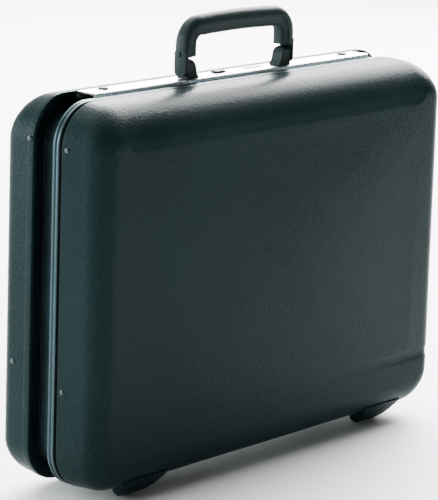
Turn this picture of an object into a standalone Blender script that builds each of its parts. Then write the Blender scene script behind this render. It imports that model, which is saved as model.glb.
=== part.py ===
"""Hard-shell attache case standing on its feet, front shell towards -Y, handle up (+Z).

The front shell (the base) carries the aluminium valance, the lock plate, the latches and the
handle. The rear shell (the lid) turns about the two knuckle hinges in the groove underneath.
"""

import math

import bmesh
import bpy
from mathutils import Vector

MM = 0.001
GAP = 0.3 * MM

# Overall size of the two closed shells, without handle and feet.
WIDTH = 460 * MM
HEIGHT = 319 * MM
DEPTH = 117 * MM
FOOT_HEIGHT = 10 * MM
TOP_Z = FOOT_HEIGHT + HEIGHT
MID_Z = FOOT_HEIGHT + HEIGHT / 2

# Outline corners, edge rounding and draft of the moulded shells.
TOP_CORNER = 36 * MM
BOTTOM_CORNER = 34.5 * MM
CORNER_STEPS = 8
FRONT_SIDE_EDGE = 18 * MM
REAR_SIDE_EDGE = 14 * MM
FRONT_TOP_EDGE = 34 * MM
REAR_TOP_EDGE = 26 * MM
BOTTOM_EDGE = 24 * MM
EDGE_STEPS = 4
FRONT_CROWN = 6 * MM
CROWN_SCALES = (0.9, 0.75, 0.55, 0.35, 0.15)
DRAFT = math.tan(math.radians(3.5))
WALL = 3 * MM
LINING = 1.5 * MM
LINING_GAP = 0.6 * MM

# Depth of each shell's rim and of the faces along Y.
FRONT_RIM = -9 * MM
REAR_RIM = 22 * MM
FRONT_FACE = -DEPTH / 2
REAR_FACE = DEPTH / 2
LIP_WIDTH = 6.5 * MM
LIP_STEP = 0.8 * MM
REAR_RISE = 3 * MM

# Groove between bead and rear shell, and the lock plate that bridges it on top.
FLOOR_INSET = 13 * MM
PLATE_HALF = 181 * MM
PLATE_FRONT = 1.3 * MM
PLATE_BACK = 21.7 * MM
PLATE_TOP = TOP_Z + 3 * MM
PLATE_THICK = 1.5 * MM
PLATE_UNDER = PLATE_TOP - PLATE_THICK
CHANNEL_Z = TOP_Z - FLOOR_INSET

# Handle.
HANDLE_Y = 7.0 * MM
PIVOT_Z = PLATE_TOP + 11.5 * MM
HANDLE_DEEP = 14 * MM
CHEEK_IN = 68.6 * MM
CHEEK_OUT = 71.6 * MM
GRIP_TOP = TOP_Z + 56.5 * MM
GRIP_THICK = 17.5 * MM
LEG_THICK = 14.6 * MM
HANDLE_BEND = 23 * MM
BRACKET_DEEP = 11.4 * MM
HANDLE_PIN = 1.5 * MM
CHEEK_HALF = 6.9 * MM
CHEEK_RADIUS = 4.5 * MM
CHEEK_DROP = 8.9 * MM
PIN_ENDS = (60.5 * MM, 70.1 * MM)

# Latches: a push button rocks a hook lever off the striker on the lid.
BUTTON_X = 158 * MM
BUTTON_Y = 13.9 * MM
BUTTON_RADIUS = 4.2 * MM
HOOK_X = 150 * MM
HOOK_Z = 322.5 * MM
HOOK_PIN = 1.2 * MM
RUNNING = 0.06 * MM

# Combination lock.
DIAL_X = (22 * MM, 31 * MM, 40 * MM)
DIAL_Y = 13.6 * MM
DIAL_RADIUS = 6 * MM
DIAL_WIDE = 5 * MM
DIAL_Z = PLATE_TOP + 1 * MM - DIAL_RADIUS
SHAFT_RADIUS = 1.2 * MM
SLIDER_X = -14 * MM
SLIDER_TRAVEL = 8 * MM

# Hinges in the groove underneath.
HINGE_X = 120 * MM
HINGE_HALF = 25 * MM
HINGE_Y = 15 * MM
HINGE_Z = FOOT_HEIGHT
KNUCKLE = 3.2 * MM
HINGE_PIN = 1.3 * MM
LEAF_THICK = 1.5 * MM

# Feet and rivets.
FOOT_X = 160 * MM
FRONT_FOOT_BACK = 19 * MM
REAR_FOOT_BACK = 29.8 * MM
REAR_FOOT_SHIFT = 9.5 * MM
FOOT_CORNER = 3 * MM
FOOT_TAPER = 0.32
RIVET_HEAD = 2.3 * MM
RIVET_SHANK = 1.3 * MM


def clear_scene():
    """Empty the scene before building."""
    for thing in list(bpy.data.objects):
        bpy.data.objects.remove(thing, do_unlink=True)


def make_material(name, colour, roughness, metallic=0.0):
    """One Principled BSDF material."""
    material = bpy.data.materials.new(name)
    material.use_nodes = True
    shader = material.node_tree.nodes["Principled BSDF"]
    shader.inputs["Base Color"].default_value = (*colour, 1.0)
    shader.inputs["Roughness"].default_value = roughness
    shader.inputs["Metallic"].default_value = metallic
    return material


def add_object(name, mesh_data, material, origin=(0, 0, 0)):
    """Turn a bmesh into a named object whose origin is at the given point."""
    bmesh.ops.recalc_face_normals(mesh_data, faces=mesh_data.faces)
    if mesh_data.calc_volume(signed=True) < 0:
        bmesh.ops.reverse_faces(mesh_data, faces=mesh_data.faces)
    bmesh.ops.translate(mesh_data, verts=mesh_data.verts, vec=-Vector(origin))
    mesh = bpy.data.meshes.new(name)
    mesh_data.to_mesh(mesh)
    mesh_data.free()
    thing = bpy.data.objects.new(name, mesh)
    thing.location = origin
    mesh.materials.append(material)
    bpy.context.scene.collection.objects.link(thing)
    return thing


def shade_round(thing, angle=40):
    """Smooth shading with sharp edges above the angle."""
    thing.data.shade_smooth()
    thing.data.set_sharp_from_angle(angle=math.radians(angle))


def loft(name, rings, material, origin=(0, 0, 0), cyclic=False):
    """Skin a row of point rings into one closed body, capped at both ends unless cyclic."""
    body = bmesh.new()
    rows = [[body.verts.new(point) for point in ring] for ring in rings]
    pairs = list(zip(rows, rows[1:]))
    if cyclic:
        pairs.append((rows[-1], rows[0]))
    for low, high in pairs:
        for k in range(len(low)):
            after = (k + 1) % len(low)
            body.faces.new((low[k], low[after], high[after], high[k]))
    if not cyclic:
        body.faces.new(rows[0])
        body.faces.new(rows[-1])
    return add_object(name, body, material, origin)


def extrude_profile(name, points, axis, low, high, material, origin=(0, 0, 0)):
    """Extrude a flat outline along X, Y or Z; points hold the two other coordinates in order."""

    def place(pair, level):
        spot = list(pair)
        spot.insert(axis, level)
        return Vector(spot)

    rings = [[place(pair, level) for pair in points] for level in (low, high)]
    return loft(name, rings, material, origin)


def box_points(low_a, high_a, low_b, high_b):
    """Four corners of a rectangle."""
    return [(low_a, low_b), (high_a, low_b), (high_a, high_b), (low_a, high_b)]


def make_box(name, low, high, material):
    """Plain block between two corners."""
    points = box_points(low[1], high[1], low[2], high[2])
    return extrude_profile(name, points, 0, low[0], high[0], material)


def circle(radius, steps, centre=(0.0, 0.0), start=0.0):
    """Points of a regular polygon around a centre."""
    turn = [start + 2 * math.pi * k / steps for k in range(steps)]
    return [(centre[0] + radius * math.cos(a), centre[1] + radius * math.sin(a)) for a in turn]


def lathe(name, profile, axis, centre, steps, material, origin=(0, 0, 0), cyclic=False):
    """Revolve (position along the axis, radius) pairs around an axis through the centre."""
    rings = []
    for level, radius in profile:
        ring = []
        for pair in circle(radius, steps):
            spot = list(pair)
            spot.insert(axis, level)
            ring.append(Vector(spot) + Vector(centre))
        rings.append(ring)
    return loft(name, rings, material, origin, cyclic)


def bake(thing):
    """Apply the object's modifiers to its own mesh."""
    graph = bpy.context.evaluated_depsgraph_get()
    mesh = bpy.data.meshes.new_from_object(thing.evaluated_get(graph))
    thing.modifiers.clear()
    thing.data = mesh


def combine(thing, tools, operation):
    """Boolean with helper bodies, which are removed afterwards."""
    for tool in tools:
        step = thing.modifiers.new("cut", "BOOLEAN")
        step.operation = operation
        step.solver = "EXACT"
        step.object = tool
        bake(thing)
        bpy.data.objects.remove(tool, do_unlink=True)
    return thing


def outline_points():
    """Corner centre, radius and outward normal for every point of the shell outline."""
    points = []
    for quarter, (side, up, radius) in enumerate(
        ((1, 1, TOP_CORNER), (-1, 1, TOP_CORNER), (-1, -1, BOTTOM_CORNER), (1, -1, BOTTOM_CORNER))
    ):
        centre = (side * (WIDTH / 2 - radius), MID_Z + up * (HEIGHT / 2 - radius))
        for k in range(CORNER_STEPS + 1):
            angle = math.pi / 2 * (quarter + k / CORNER_STEPS)
            points.append((centre, radius, (math.cos(angle), math.sin(angle))))
    return points


def outline_ring(inset, level, rise=0.0):
    """Ring around the case; inset and level may depend on the upward part of the normal."""
    ring = []
    for centre, radius, normal in outline_points():
        reach = radius - inset(normal[1]) + rise * max(normal[1], 0.0) ** 2
        ring.append(
            Vector((centre[0] + reach * normal[0], level(normal[1]), centre[1] + reach * normal[1]))
        )
    return ring


def flat_ring(inset, level, rise=0.0):
    """Ring with one inset and one depth all round."""
    return outline_ring(lambda up: inset, lambda up: level, rise)


def edge_radius(up, face):
    """Rounding of the face edge: broad along the top, tight at the ends."""
    near = REAR_SIDE_EDGE if face > 0 else FRONT_SIDE_EDGE
    far = BOTTOM_EDGE
    if up > 0:
        far = REAR_TOP_EDGE if face > 0 else FRONT_TOP_EDGE
    return near + (far - near) * up * up


def crown_rings(ring, rise):
    """Rings from the small flat middle of a crowned face out to the ring at its edge."""
    half_x = max(point.x for point in ring)
    half_z = max(abs(point.z - MID_Z) for point in ring)
    flat = (1 - CROWN_SCALES[-1] ** 2) ** 2
    rings = []
    for scale in reversed(CROWN_SCALES):
        crowned = []
        for point in ring:
            across = point.x * scale
            up = (point.z - MID_Z) * scale
            bulge = (1 - (across / half_x) ** 2) * (1 - (up / half_z) ** 2)
            crowned.append(Vector((across, point.y + rise * min(1, bulge / flat), MID_Z + up)))
        rings.append(crowned)
    return rings


def wall_rings(face, rim, start, offset, lip=0.0):
    """Rings of one shell surface from the middle of the face out to the level start."""
    side = 1 if face > 0 else -1
    crown = 0.0 if face > 0 else FRONT_CROWN
    rise = REAR_RISE if face > 0 else 0.0
    edge = face - side * crown
    depth = abs(edge - rim)

    def inset(up, angle):
        radius = edge_radius(up, face)
        return DRAFT * (depth - radius) + lip + radius - (radius - offset) * math.cos(angle)

    def level(up, angle):
        radius = edge_radius(up, face)
        return edge - side * (radius - (radius - offset) * math.sin(angle))

    rings = []
    for k in range(EDGE_STEPS + 1):
        angle = math.pi / 2 * (1 - k / EDGE_STEPS)
        rings.append(
            outline_ring(lambda up, a=angle: inset(up, a), lambda up, a=angle: level(up, a), rise)
        )
    if crown:
        rings = crown_rings(rings[0], side * crown) + rings
    rings.append(flat_ring(offset + lip + DRAFT * abs(start - rim), start, rise))
    return rings


def make_shell(name, face, rim, material, lip):
    """Moulded shell: open box with drafted walls, rounded face edges and a plain rim."""
    side = 1 if face > 0 else -1
    rise = REAR_RISE if face > 0 else 0.0
    inner = wall_rings(face, rim, rim, WALL, lip)
    outer = wall_rings(face, rim, rim + side * (LIP_WIDTH + LIP_STEP), 0.0, lip)
    rings = inner + [flat_ring(0.4 * MM, rim, rise), flat_ring(0.0, rim + side * 0.4 * MM, rise)]
    if lip:
        rings.append(flat_ring(0.0, rim + side * LIP_WIDTH, rise))
    rings += list(reversed(outer))
    shell = loft(name, rings, material)
    return shell


def make_lining(name, face, rim, start, material, lip):
    """Lining tray inside a shell."""
    outside = wall_rings(face, rim, start, WALL + LINING_GAP, lip)
    inside = wall_rings(face, rim, start, WALL + LINING_GAP + LINING, lip)
    return loft(name, inside + list(reversed(outside)), material)


def make_frame(name, profile, material):
    """Extruded profile (depth, inset, rise along the top) bent round the whole outline."""
    rings = [flat_ring(inset, level, rise) for level, inset, rise in profile]
    return loft(name, rings, material, cyclic=True)


def base_frame_profile():
    """Double bead, sloping band and groove floor of the front valance."""
    pairs = (
        (-16.0, 3.9), (-9.0, 3.4), (-6.0, 3.4), (-6.0, 0.7), (-5.4, 0.2), (-3.2, 0.2),
        (-2.7, 0.8), (-2.2, 0.8), (-1.7, 0.2), (0.4, 0.2), (1.0, 0.8), (1.0, 5.0), (6.0, 7.5),
        (7.2, 13.0), (21.0, 13.0), (21.0, 14.5), (6.0, 14.5), (4.9, 8.7), (-0.4, 6.2), (-16.0, 5.4),
    )
    return [(level * MM, inset * MM, 0.0) for level, inset in pairs]


def lid_frame_profile():
    """Angle profile of the rear valance: a wall across the groove and a flange in the shell."""
    flange = ((22.3, 4.2), (30.0, 4.7), (30.0, 6.2), (23.8, 5.8))
    edge = ((23.8, 17.0), (22.3, 17.0))
    profile = [(level * MM, inset * MM, REAR_RISE) for level, inset in flange]
    return profile + [(level * MM, inset * MM, 0.0) for level, inset in edge]


def seal_profile():
    """Flat rubber strip on the rear valance's wall."""
    pairs = ((21.3, 12.4), (22.0, 12.4), (22.0, 16.4), (21.3, 16.4))
    return [(level * MM, inset * MM, 0.0) for level, inset in pairs]


def rivet_places():
    """Name, side, depth and height of each rivet in the two end walls."""
    places = []
    for label, side in (("left", -1), ("right", 1)):
        places.append((f"front_rivet_{label}_upper", side, -14.5 * MM, 293.4 * MM, FRONT_RIM, 0.0))
        places.append((f"front_rivet_{label}_lower", side, -14.5 * MM, 96.0 * MM, FRONT_RIM, 0.0))
        places.append((f"rear_rivet_{label}_upper", side, 26.0 * MM, 298.0 * MM, None, 0.0))
        places.append((f"rear_rivet_{label}_lower", side, 42.8 * MM, 111.0 * MM, REAR_RIM, LIP_STEP))
    return places


def rivet_surface(level, rim, step):
    """Half width of the shell's end wall at a depth."""
    if rim is None:
        return WIDTH / 2
    return WIDTH / 2 - step - DRAFT * abs(level - rim)


def make_rivets(front, rear, material):
    """Domed rivets through the end walls, with the holes they sit in."""
    for name, side, level, height, rim, step in rivet_places():
        skin = rivet_surface(level, rim, step)
        holder = front if level < 0 else rear
        hole = lathe(
            "hole", [(skin - 2 * WALL, RIVET_SHANK + GAP), (skin + WALL, RIVET_SHANK + GAP)],
            0, (0, level, height), 10, material,
        )
        if side < 0:
            mirror_x(hole)
        combine(holder, [hole], "DIFFERENCE")
        base = skin + GAP
        profile = [
            (skin - WALL + GAP, RIVET_SHANK),
            (base, RIVET_SHANK),
            (base, RIVET_HEAD),
            (base + 0.35 * MM, RIVET_HEAD * 0.9),
            (base + 0.7 * MM, RIVET_HEAD * 0.62),
            (base + 0.88 * MM, RIVET_HEAD * 0.25),
        ]
        rivet = lathe(name, profile, 0, (0, level, height), 12, material)
        if side < 0:
            mirror_x(rivet)
        shade_round(rivet)


def mirror_x(thing):
    """Mirror an object's mesh and place across the middle plane X = 0."""
    body = bmesh.new()
    body.from_mesh(thing.data)
    for vert in body.verts:
        vert.co.x = -vert.co.x
    bmesh.ops.reverse_faces(body, faces=body.faces)
    body.to_mesh(thing.data)
    body.free()
    thing.location.x = -thing.location.x


def rounded_rectangle(half_a, half_b, radius, steps=3):
    """Corner-rounded rectangle as a list of pairs, centred on zero."""
    points = []
    for quarter, (sa, sb) in enumerate(((1, 1), (-1, 1), (-1, -1), (1, -1))):
        for k in range(steps + 1):
            angle = math.pi / 2 * (quarter + k / steps)
            points.append(
                (
                    sa * (half_a - radius) + radius * math.cos(angle),
                    sb * (half_b - radius) + radius * math.sin(angle),
                )
            )
    return points


def make_foot(name, side, face, rim, material, lip):
    """Moulded foot that flares up into the rounded underside of its shell."""
    toward = 1 if face > 0 else -1
    back = REAR_FOOT_BACK if face > 0 else FRONT_FOOT_BACK
    shift = REAR_FOOT_SHIFT if face > 0 else 0.0
    levels = (
        (0.0, 13.0, 27.0), (0.4, 15.0, 29.0), (1.3, 16.8, 31.0), (3.0, 18.4, 33.8), (5.5, 20.0, 36.8),
        (8.5, 22.0, 39.8), (11.5, 24.0, 42.3), (14.5, 26.5, 44.6), (19.0, 28.0, 47.4),
    )
    rings = []
    for level, half_x, front in levels:
        half_y = (front * MM + shift - back) / 2
        ring = rounded_rectangle(half_x * MM, half_y, FOOT_CORNER)
        middle = toward * (back + half_y)
        points = []
        for a, b in ring:
            backness = 0.5 - toward * b / (2 * half_y)
            across = side * FOOT_X + a * (1 - FOOT_TAPER * backness)
            points.append(Vector((across, middle + b, level * MM)))
        rings.append(points)
    foot = loft(name, rings, material)
    hull = wall_rings(face, rim, rim, -GAP, lip)
    cutter = loft("cutter", hull + [flat_ring(-GAP, 0.0)], material)
    combine(foot, [cutter], "DIFFERENCE")
    shade_round(foot, 30)


def make_plate(material):
    """Lock plate: shallow channel with openings for buttons, dials and slider."""
    under = PLATE_UNDER
    profile = [
        (PLATE_FRONT, TOP_Z - 4 * MM),
        (PLATE_FRONT, PLATE_TOP - 0.8 * MM),
        (PLATE_FRONT + 0.8 * MM, PLATE_TOP),
        (PLATE_BACK - 0.8 * MM, PLATE_TOP),
        (PLATE_BACK, PLATE_TOP - 0.8 * MM),
        (PLATE_BACK, TOP_Z - 3 * MM),
        (PLATE_BACK - 1.3 * MM, TOP_Z - 3 * MM),
        (PLATE_BACK - 1.3 * MM, under),
        (PLATE_FRONT + 1.3 * MM, under),
        (PLATE_FRONT + 1.3 * MM, TOP_Z - 4 * MM),
    ]
    plate = extrude_profile("lock_plate", profile, 0, -PLATE_HALF, PLATE_HALF, material)
    tools = []
    for side in (-1, 1):
        tools.append(
            lathe(
                "hole", [(-5 * MM, BUTTON_RADIUS + GAP), (5 * MM, BUTTON_RADIUS + GAP)],
                2, (side * BUTTON_X, BUTTON_Y, PLATE_TOP), 24, material,
            )
        )
    for place in DIAL_X:
        half = DIAL_WIDE / 2 + GAP
        low = (place - half, DIAL_Y - 5.4 * MM, PLATE_TOP - 5 * MM)
        high = (place + half, DIAL_Y + 5.4 * MM, PLATE_TOP + 5 * MM)
        tools.append(make_box("slot", low, high, material))
    low = (SLIDER_X - 3.4 * MM, DIAL_Y - 1.9 * MM, PLATE_TOP - 5 * MM)
    high = (SLIDER_X + SLIDER_TRAVEL + 3.4 * MM, DIAL_Y + 1.9 * MM, PLATE_TOP + 5 * MM)
    tools.append(make_box("slot", low, high, material))
    return combine(plate, tools, "DIFFERENCE")


def make_lock_body(material):
    """Cradle under the plate that holds the dial shaft."""
    low_x = DIAL_X[0] - 7 * MM
    high_x = DIAL_X[-1] + 7 * MM
    floor = CHANNEL_Z + GAP
    top = PLATE_UNDER - GAP
    points = [
        (low_x, floor), (high_x, floor), (high_x, top), (high_x - 2 * MM, top),
        (high_x - 2 * MM, floor + 1.4 * MM), (low_x + 2 * MM, floor + 1.4 * MM),
        (low_x + 2 * MM, top), (low_x, top),
    ]
    extrude_profile("lock_body", points, 1, 8.2 * MM, 19.6 * MM, material)


def make_dials(dial_material, steel):
    """Three number wheels and the shaft they turn on."""
    low = DIAL_X[0] - 4.7 * MM
    high = DIAL_X[-1] + 4.7 * MM
    shaft = lathe(
        "dial_shaft", [(low, SHAFT_RADIUS), (high, SHAFT_RADIUS)], 0, (0, DIAL_Y, DIAL_Z), 20, steel
    )
    shade_round(shaft)
    for number, place in enumerate(DIAL_X, 1):
        half = DIAL_WIDE / 2
        bore = SHAFT_RADIUS + RUNNING
        profile = [
            (-half, bore), (-half, DIAL_RADIUS - 0.6 * MM), (-half + 0.6 * MM, DIAL_RADIUS),
            (half - 0.6 * MM, DIAL_RADIUS), (half, DIAL_RADIUS - 0.6 * MM), (half, bore),
        ]
        centre = (place, DIAL_Y, DIAL_Z)
        dial = lathe(f"lock_dial_{number}", profile, 0, centre, 20, dial_material, centre, True)
        shade_round(dial, 30)


def make_slider(material):
    """Opening slide of the combination lock: foot, neck and knob in one piece."""
    levels = (
        (PLATE_UNDER - 2.2 * MM, 5.5, 3.5), (PLATE_UNDER - GAP, 5.5, 3.5),
        (PLATE_UNDER - GAP, 3.0, 1.5), (PLATE_TOP + GAP, 3.0, 1.5),
        (PLATE_TOP + GAP, 7.0, 3.3), (PLATE_TOP + 1.2 * MM, 7.0, 3.3),
        (PLATE_TOP + 1.9 * MM, 6.2, 2.6),
    )
    rings = []
    for level, half_x, half_y in levels:
        ring = rounded_rectangle(half_x * MM, half_y * MM, 1.2 * MM, 2)
        rings.append([Vector((SLIDER_X + a, DIAL_Y + b, level)) for a, b in ring])
    loft("lock_slider", rings, material, (SLIDER_X, DIAL_Y, PLATE_TOP))


def make_button(label, side, material):
    """Round push button with a retaining flange and a stem over the hook lever."""
    profile = [
        (-8.1, 1.9), (-5.5, 1.9), (-5.5, 4.6), (-3.6, 4.6), (-3.6, 4.2), (0.9, 4.2), (1.4, 3.7),
        (1.5, 2.4),
    ]
    centre = (side * BUTTON_X, BUTTON_Y, PLATE_TOP)
    pairs = [(level * MM, radius * MM) for level, radius in profile]
    button = lathe(f"release_button_{label}", pairs, 2, centre, 24, material, centre)
    shade_round(button, 35)


def make_hook(label, side, material):
    """Rocking lever: button arm outboard, hub on the pin, nose behind the striker's lip."""
    low_y = 12.0 * MM
    high_y = 17.9 * MM
    axis = HOOK_X
    bar_low = (139 * MM, low_y, 321.6 * MM)
    bar = make_box("bar", bar_low, (161.5 * MM, high_y, 323.4 * MM), material)
    hub = extrude_profile(
        "hub", circle(2.5 * MM, 18, (axis, HOOK_Z)), 1, low_y, high_y, material
    )
    nose_low = (139 * MM, 16.2 * MM, 320.1 * MM)
    nose = make_box("nose", nose_low, (143.5 * MM, high_y, 322 * MM), material)
    rim = circle(HOOK_PIN + RUNNING, 18, (axis, HOOK_Z))
    bore = extrude_profile("bore", rim, 1, low_y - MM, high_y + MM, material)
    combine(bar, [hub, nose], "UNION")
    combine(bar, [bore], "DIFFERENCE")
    finish_mirrored(bar, f"latch_hook_{label}", side, (axis, (low_y + high_y) / 2, HOOK_Z))


def finish_mirrored(thing, name, side, origin):
    """Name a part built on the right, put its origin on its axis and mirror it when on the left."""
    thing.name = name
    thing.data.name = name
    body = bmesh.new()
    body.from_mesh(thing.data)
    bmesh.ops.translate(body, verts=body.verts, vec=-Vector(origin))
    body.to_mesh(thing.data)
    body.free()
    thing.location = origin
    if side < 0:
        mirror_x(thing)


def make_latch_housing(label, side, material, steel):
    """Channel-shaped housing in the groove and the pin that carries the hook."""
    floor = CHANNEL_Z + GAP
    top = PLATE_UNDER - GAP
    front = 7.9 * MM
    back = 19.9 * MM
    points = [
        (front, floor), (back, floor), (back, top), (back - 1.1 * MM, top),
        (back - 1.1 * MM, floor + 1.2 * MM), (front + 1.1 * MM, floor + 1.2 * MM),
        (front + 1.1 * MM, top), (front, top),
    ]
    housing = extrude_profile("housing", points, 0, 146.5 * MM, 164 * MM, material)
    finish_mirrored(housing, f"latch_housing_{label}", side, (0, 0, 0))
    pin = extrude_profile(
        "pin", circle(HOOK_PIN, 18, (HOOK_X, HOOK_Z)), 1, front + 1.4 * MM, back - 1.4 * MM, steel
    )
    finish_mirrored(pin, f"latch_pin_{label}", side, (0, 0, 0))
    shade_round(pin)


def make_striker(label, side, material):
    """Catch on the lid's valance: wall plate, tongue and upturned lip."""
    points = [
        (22.0, 325.0), (20.7, 325.0), (20.7, 319.7), (15.6, 319.7), (15.6, 321.2), (14.0, 321.2),
        (14.0, 318.2), (22.0, 318.2),
    ]
    pairs = [(a * MM, b * MM) for a, b in points]
    striker = extrude_profile("striker", pairs, 0, 137.5 * MM, 145.2 * MM, material)
    finish_mirrored(striker, f"striker_{label}", side, (0, 0, 0))


def make_hinge(label, side, material, steel):
    """Knuckle hinge: two knuckles on the base leaf, one on the lid leaf, one pin."""
    centre = side * HINGE_X
    ends = (-HINGE_HALF, -HINGE_HALF / 3, HINGE_HALF / 3, HINGE_HALF)
    wall_y = HINGE_Y - KNUCKLE + 0.1 * MM
    foot_z = FOOT_HEIGHT + FLOOR_INSET - GAP
    clear = HINGE_Z + KNUCKLE + 0.6 * MM

    wall_back = wall_y + LEAF_THICK
    web_low = (centre + ends[0], wall_y, clear)
    web = make_box("web", web_low, (centre + ends[3], wall_back, foot_z), material)
    tools = [
        make_box(
            "foot", (centre + ends[0], 8.3 * MM, foot_z - LEAF_THICK),
            (centre + ends[3], wall_y + 0.5 * MM, foot_z), material,
        )
    ]
    for low, high in ((ends[0], ends[1] - GAP), (ends[2] + GAP, ends[3])):
        tab_low = (centre + low, wall_y, HINGE_Z)
        tools.append(make_box("tab", tab_low, (centre + high, wall_back, clear + MM), material))
        tools.append(knuckle(centre + low, centre + high, material))
    combine(web, tools, "UNION")
    combine(web, [knuckle_bore(centre, material)], "DIFFERENCE")
    web.name = f"hinge_base_leaf_{label}"

    shelf_z = HINGE_Z + KNUCKLE - LEAF_THICK - 0.1 * MM
    leaf = make_box(
        "leaf", (centre + ends[0], 20.4 * MM, shelf_z),
        (centre + ends[3], 21.9 * MM, FOOT_HEIGHT + 12 * MM), material,
    )
    shelf_high = (centre + ends[2], 20.9 * MM, shelf_z + LEAF_THICK)
    shelf = make_box("shelf", (centre + ends[1], HINGE_Y, shelf_z), shelf_high, material)
    combine(leaf, [shelf, knuckle(centre + ends[1], centre + ends[2], material)], "UNION")
    combine(leaf, [knuckle_bore(centre, material)], "DIFFERENCE")
    leaf.name = f"hinge_lid_leaf_{label}"

    pin = lathe(
        f"hinge_pin_{label}", [(ends[0], HINGE_PIN), (ends[3], HINGE_PIN)],
        0, (centre, HINGE_Y, HINGE_Z), 16, steel, (centre, HINGE_Y, HINGE_Z),
    )
    shade_round(pin)
    for thing in (web, leaf):
        shade_round(thing, 30)


def knuckle(low, high, material):
    """Solid barrel of a hinge."""
    ends = [(low, KNUCKLE), (high, KNUCKLE)]
    return lathe("barrel", ends, 0, (0, HINGE_Y, HINGE_Z), 16, material)


def knuckle_bore(centre, material):
    """Bore tool for the hinge pin."""
    reach = HINGE_HALF + 2 * MM
    radius = HINGE_PIN + RUNNING
    ends = [(-reach, radius), (reach, radius)]
    return lathe("bore", ends, 0, (centre, HINGE_Y, HINGE_Z), 16, material)


def bracket_outline():
    """Bell-shaped handle bracket seen along Y, on the right-hand side."""
    foot = PLATE_TOP + GAP
    rise = PIVOT_Z + 6.2 * MM - foot
    pairs = [
        (53.5 * MM, 0), (68.3 * MM, 0), (68.3 * MM, rise - 1.5 * MM), (66.8 * MM, rise),
        (62.5 * MM, rise), (59.6 * MM, rise - 2.2 * MM), (57.6 * MM, rise - 6 * MM),
        (56.0 * MM, 5 * MM), (53.5 * MM, 1.6 * MM),
    ]
    return [(a, foot + b) for a, b in pairs]


def make_bracket(label, side, material, steel):
    """Handle bracket with a rounded crown, and the pin through it."""
    low = HANDLE_Y - BRACKET_DEEP / 2
    high = HANDLE_Y + BRACKET_DEEP / 2
    block = extrude_profile("block", bracket_outline(), 1, low, high, material)
    keep = [(HANDLE_Y - BRACKET_DEEP / 2 - MM, PLATE_TOP - MM)]
    keep.append((HANDLE_Y + BRACKET_DEEP / 2 + MM, PLATE_TOP - MM))
    keep.append((HANDLE_Y + BRACKET_DEEP / 2 + MM, PIVOT_Z))
    for k in range(9):
        angle = math.pi * k / 8
        keep.append((HANDLE_Y + 6.2 * MM * math.cos(angle), PIVOT_Z + 6.2 * MM * math.sin(angle)))
    keep.append((HANDLE_Y - BRACKET_DEEP / 2 - MM, PIVOT_Z))
    crown = extrude_profile("crown", keep, 0, 50 * MM, 72 * MM, material)
    combine(block, [crown], "INTERSECT")
    bore = lathe(
        "bore", [(PIN_ENDS[0] - GAP, HANDLE_PIN + GAP), (72 * MM, HANDLE_PIN + GAP)],
        0, (0, HANDLE_Y, PIVOT_Z), 16, material,
    )
    combine(block, [bore], "DIFFERENCE")
    finish_mirrored(block, f"handle_bracket_{label}", side, (0, 0, 0))
    shade_round(block, 30)
    pin = lathe(
        "pin", [(PIN_ENDS[0], 0.9 * MM), (PIN_ENDS[0] + 0.5 * MM, HANDLE_PIN), (PIN_ENDS[1], HANDLE_PIN)],
        0, (0, HANDLE_Y, PIVOT_Z), 16, steel,
    )
    finish_mirrored(pin, f"handle_pin_{label}", side, (0, 0, 0))
    shade_round(pin)


def handle_path():
    """Centre, tangent angle and thickness of the handle bow from the left leg to the right."""
    half = CHEEK_OUT - LEG_THICK / 2
    bottom = PIVOT_Z + 7.6 * MM
    centre_x = CHEEK_OUT - HANDLE_BEND
    centre_z = GRIP_TOP - HANDLE_BEND
    stations = [
        ((-half, bottom), math.pi / 2, LEG_THICK), ((-half, bottom + 6 * MM), math.pi / 2, LEG_THICK)
    ]
    for k in range(6):
        angle = math.pi - math.pi / 2 * k / 5
        thick = LEG_THICK + (GRIP_THICK - LEG_THICK) * k / 5
        reach = HANDLE_BEND - thick / 2
        spot = (-centre_x + reach * math.cos(angle), centre_z + reach * math.sin(angle))
        stations.append((spot, angle - math.pi / 2, thick))
    top = GRIP_TOP - GRIP_THICK / 2
    for share in (0.5, 1.0):
        spot = (-centre_x * (1 - share), top + 1.2 * MM * share)
        stations.append((spot, 0.02 * (1 - share), GRIP_THICK))
    right = [((-spot[0], spot[1]), -angle, thick) for spot, angle, thick in reversed(stations[:-1])]
    return stations + right


def handle_section(thick, deep):
    """Rounded section of the grip with a step along its lower half."""
    half_t = thick / 2
    half_d = deep / 2
    inner = half_d - 1.2 * MM
    rear = [
        (half_t, half_d - 4.5 * MM), (half_t - 1.2 * MM, half_d - 1.8 * MM), (half_t - 4 * MM, half_d),
        (-0.4 * MM, half_d), (-0.8 * MM, inner), (-half_t + 2.6 * MM, inner),
        (-half_t, inner - 2.6 * MM),
    ]
    return rear + [(across, -deep) for across, deep in reversed(rear)]


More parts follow.
